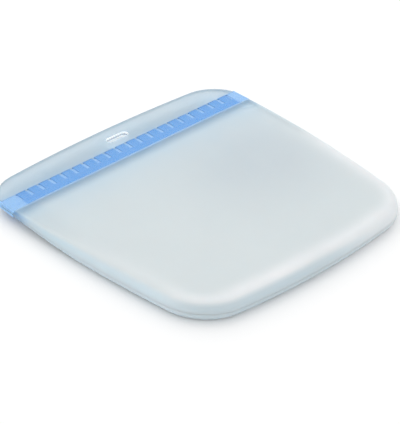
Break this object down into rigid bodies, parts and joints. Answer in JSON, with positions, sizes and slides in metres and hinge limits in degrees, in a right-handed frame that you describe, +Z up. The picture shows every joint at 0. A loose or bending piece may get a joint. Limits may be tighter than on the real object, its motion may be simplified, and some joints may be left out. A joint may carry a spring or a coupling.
{
  "type": "reusable silicone bag",
  "caption": "Slim frosted silicone food bag lying flat, with a blue press seal across its mouth, opening lips and a hang slot.",
  "frame": {"origin": "middle of the bag's bounding box, on the flat back that it lies on", "axes": "+X across the bag, +Y from the bottom to the mouth, +Z up out of the front panel"},
  "size_m": [0.2366, 0.2402, 0.0145],
  "materials": {
    "clear_silicone": "frosted translucent moulded silicone",
    "blue_silicone": "matt moulded silicone"
  },
  "bodies": {
    "pouch": {"front_panel": "clear_silicone", "back_panel": "clear_silicone", "gusset_rim": "clear_silicone"},
    "front_flap": {"front_lip": "clear_silicone", "front_seal_strip": "blue_silicone", "front_seal_ribs": "blue_silicone"},
    "back_flap": {"back_lip": "clear_silicone", "back_seal_strip": "blue_silicone", "back_seal_ribs": "blue_silicone"}
  },
  "joints": [
    {"name": "front_lip_fold", "type": "hinge", "parent": "pouch", "child": "front_flap", "pos_m": [0, 0.056, 0.0129], "axis": [1, 0, 0], "range_deg": [0, 60], "stiffness_Nm_per_rad": 0.6, "springref_deg": -1.72},
    {"name": "back_lip_fold", "type": "hinge", "parent": "pouch", "child": "back_flap", "pos_m": [0, 0.056, 0.0023], "axis": [-1, 0, 0], "range_deg": [0, 5], "stiffness_Nm_per_rad": 0.6, "springref_deg": -1.72}
  ]
}
